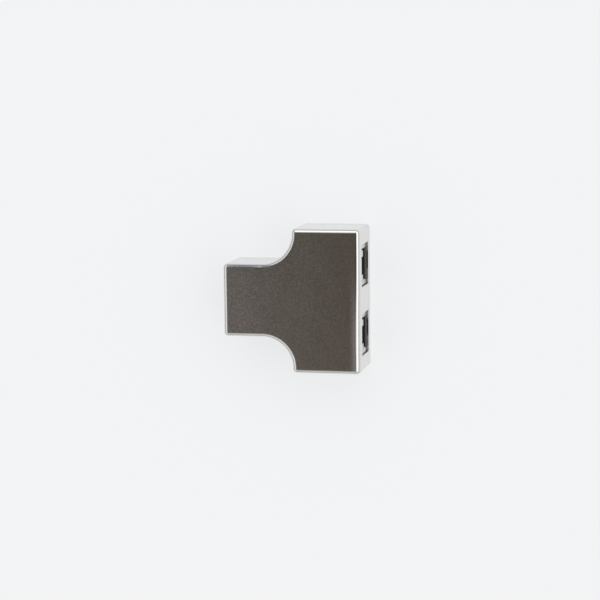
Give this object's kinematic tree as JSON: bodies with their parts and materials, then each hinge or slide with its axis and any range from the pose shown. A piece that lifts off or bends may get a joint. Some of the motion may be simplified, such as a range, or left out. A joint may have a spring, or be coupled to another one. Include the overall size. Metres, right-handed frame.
{
  "type": "rj45 splitter adapter",
  "caption": "T-shaped plated splitter for network leads, with one shielded modular port at the stem's end and a pair at the bar's end.",
  "frame": {"origin": "middle of the flat back, centred on the overall length and width", "axes": "+X from the single port at the stem's end to the twin ports, +Y across the twin ports, +Z from the flat back to the front"},
  "size_m": [0.053, 0.0552, 0.022],
  "materials": {
    "plated_shell": "satin nickel plating",
    "shield": "bright tin plating",
    "insulator": "fine moulded",
    "insert": "fine moulded",
    "board": "solder-masked laminate",
    "contact": "gold plating"
  },
  "bodies": {
    "root": {"front_shell": "plated_shell", "back_shell": "plated_shell", "circuit_board": "board", "stem_jack_body": "insulator", "stem_jack_shield": "shield", "stem_jack_insert": "insert", "stem_jack_contact_1": "contact", "stem_jack_contact_2": "contact", "stem_jack_contact_3": "contact", "stem_jack_contact_4": "contact", "stem_jack_contact_5": "contact", "stem_jack_contact_6": "contact", "stem_jack_contact_7": "contact", "stem_jack_contact_8": "contact", "upper_jack_body": "insulator", "upper_jack_shield": "shield", "upper_jack_insert": "insert", "upper_jack_contact_1": "contact", "upper_jack_contact_2": "contact", "upper_jack_contact_3": "contact", "upper_jack_contact_4": "contact", "upper_jack_contact_5": "contact", "upper_jack_contact_6": "contact", "upper_jack_contact_7": "contact", "upper_jack_contact_8": "contact", "lower_jack_body": "insulator", "lower_jack_shield": "shield", "lower_jack_insert": "insert", "lower_jack_contact_1": "contact", "lower_jack_contact_2": "contact", "lower_jack_contact_3": "contact", "lower_jack_contact_4": "contact", "lower_jack_contact_5": "contact", "lower_jack_contact_6": "contact", "lower_jack_contact_7": "contact", "lower_jack_contact_8": "contact"}
  },
  "joints": []
}
